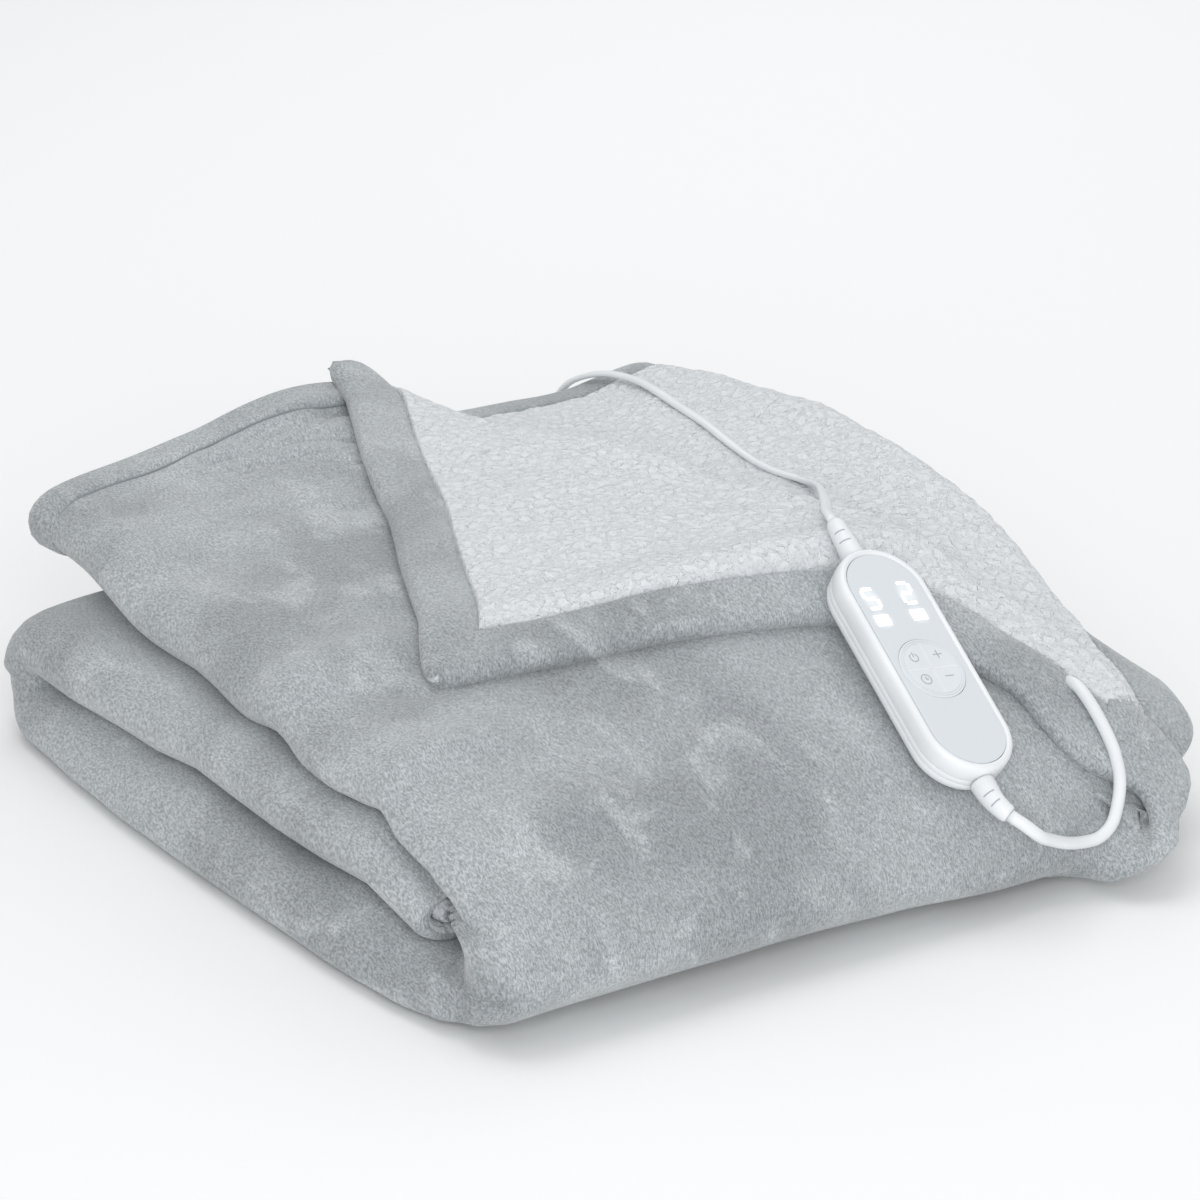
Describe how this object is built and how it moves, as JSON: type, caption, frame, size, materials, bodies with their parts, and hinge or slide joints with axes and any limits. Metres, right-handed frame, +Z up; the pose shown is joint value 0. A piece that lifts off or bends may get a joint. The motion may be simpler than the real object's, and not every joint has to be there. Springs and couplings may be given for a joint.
{
  "type": "electric heated throw blanket",
  "caption": "Electric heated throw of flannel and fleece, folded into a pile with one corner turned over, with its hand controller, control lead and mains cord.",
  "frame": {"origin": "middle of the folded throw's footprint, on the surface that it rests on", "axes": "+Z up, the throw's shortest side; X along the front fold, with the controller towards +X; the front fold faces -Y"},
  "size_m": [0.4193, 0.6035, 0.1446],
  "materials": {
    "grey_flannel": "short brushed pile, light cool grey",
    "white_fleece": "tufted sherpa fleece, cool white",
    "controller_white": "satin moulded plastic",
    "face_grey": "smooth matt face panel",
    "keypad_grey": "smooth matt keypad",
    "cord_white": "soft white PVC",
    "pin_brass": "bright metal"
  },
  "bodies": {
    "root": {"throw_cloth": "grey_flannel", "controller_base": "controller_white", "controller_cover": "controller_white", "controller_face": "face_grey", "controller_keypad": "keypad_grey", "mains_strain_relief": "cord_white", "lead_strain_relief": "cord_white", "mains_cord": "cord_white", "mains_coil": "cord_white", "plug_body": "cord_white", "plug_pin_1": "pin_brass", "plug_pin_2": "pin_brass", "control_lead": "cord_white"}
  },
  "joints": []
}
